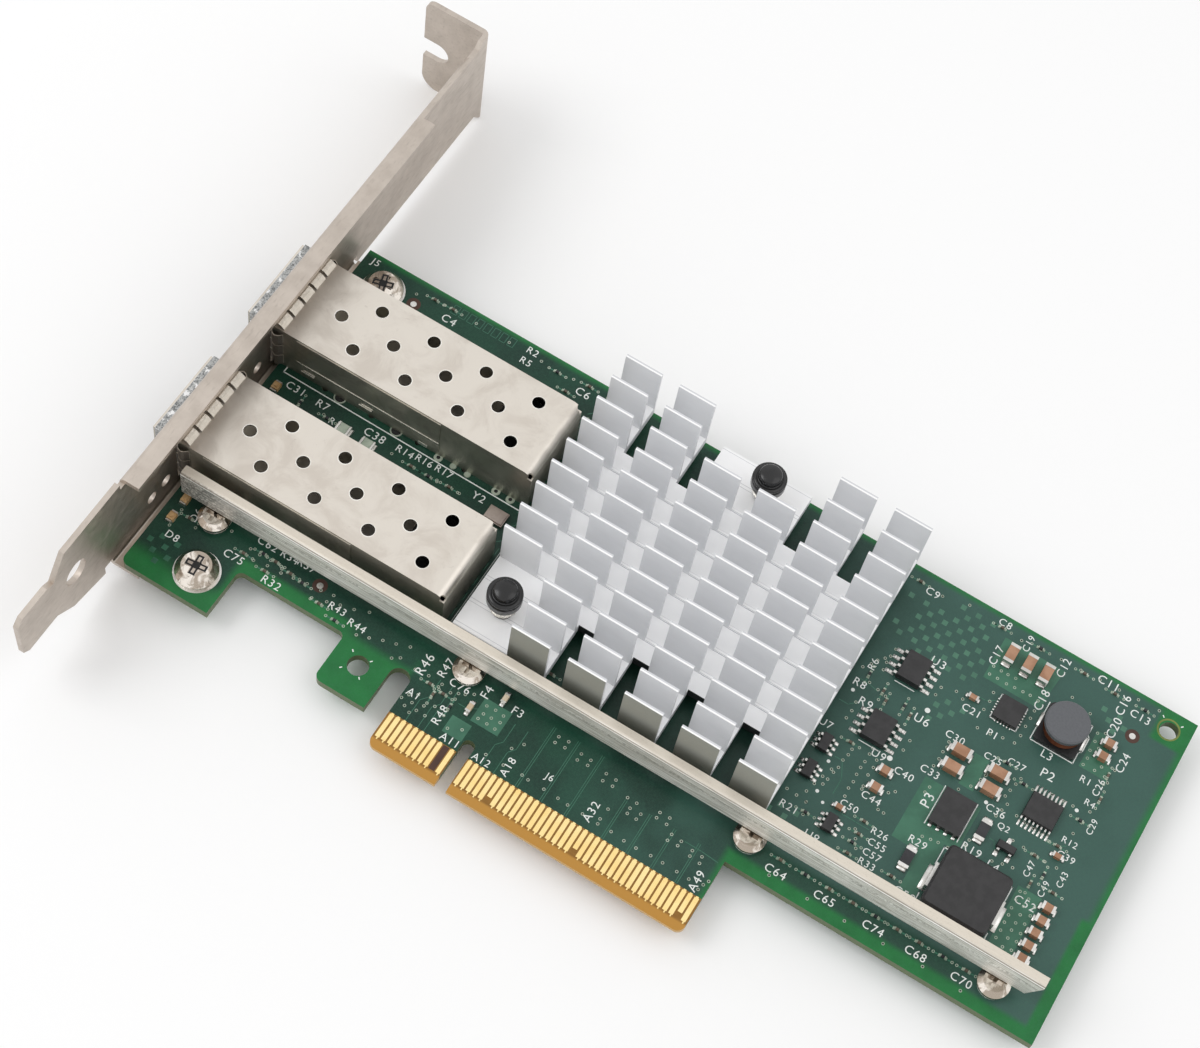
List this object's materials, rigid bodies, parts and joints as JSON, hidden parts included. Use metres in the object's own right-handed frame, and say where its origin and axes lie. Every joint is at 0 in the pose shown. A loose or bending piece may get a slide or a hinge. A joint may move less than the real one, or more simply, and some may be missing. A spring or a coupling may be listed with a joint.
{
  "type": "network interface card",
  "caption": "Network interface card with a full-height bracket, shielded pluggable port cages, a finned heat sink, a stiffener bar and an edge connector.",
  "frame": {"origin": "middle of the key notch at the contact edge, on the board's top face", "axes": "+X along the card away from the bracket, +Y from the contact edge to the top edge, +Z out of the component side"},
  "size_m": [0.1576, 0.12, 0.0206],
  "materials": {
    "solder_mask": "satin green laminate",
    "gold_plate": "plated",
    "bracket_steel": "bright plated, satin",
    "screw_steel": "plated",
    "cage_sheet": "nickel plated, satin",
    "spring_sheet": "bright",
    "port_plastic": "moulded",
    "contact_metal": "plated",
    "sink_aluminium": "milled",
    "pad_grey": "soft",
    "chip_lid": "satin",
    "pin_plastic": "moulded",
    "bar_sheet": "bright plated",
    "package_black": "moulded",
    "tin": "tinned",
    "ferrite": "ground",
    "copper": "enamelled",
    "capacitor_ceramic": "fired",
    "resistor_black": "printed",
    "light_plastic": "clear moulded",
    "crystal_lid": "bright"
  },
  "bodies": {
    "root": {"circuit_board": "solder_mask", "edge_contacts_top": "gold_plate", "edge_contacts_bottom": "gold_plate", "io_bracket": "bracket_steel", "bracket_screws": "screw_steel", "controller_chip": "chip_lid", "thermal_pad": "pad_grey", "heat_sink": "sink_aluminium", "push_pins": "pin_plastic", "push_pin_springs": "spring_sheet", "stiffener_bar": "bar_sheet", "stiffener_screws": "screw_steel", "memory_chips": "package_black", "memory_chip_leads": "tin", "logic_chips": "package_black", "logic_chip_leads": "tin", "regulator_chip": "package_black", "power_stage": "package_black", "power_controller": "package_black", "power_controller_leads": "tin", "drum_inductor_core": "ferrite", "drum_inductor_winding": "copper", "moulded_inductor": "package_black", "moulded_inductor_terminals": "tin", "capacitor_bodies": "capacitor_ceramic", "capacitor_ends": "tin", "resistor_bodies": "resistor_black", "resistor_ends": "tin", "fuse_bodies": "light_plastic", "fuse_ends": "tin", "crystal": "crystal_lid", "port_lights": "light_plastic", "port_cage_lower": "cage_sheet", "spring_collar_lower": "spring_sheet", "port_connector_lower": "port_plastic", "port_contacts_lower": "contact_metal", "port_cage_upper": "cage_sheet", "spring_collar_upper": "spring_sheet", "port_connector_upper": "port_plastic", "port_contacts_upper": "contact_metal"}
  },
  "joints": []
}
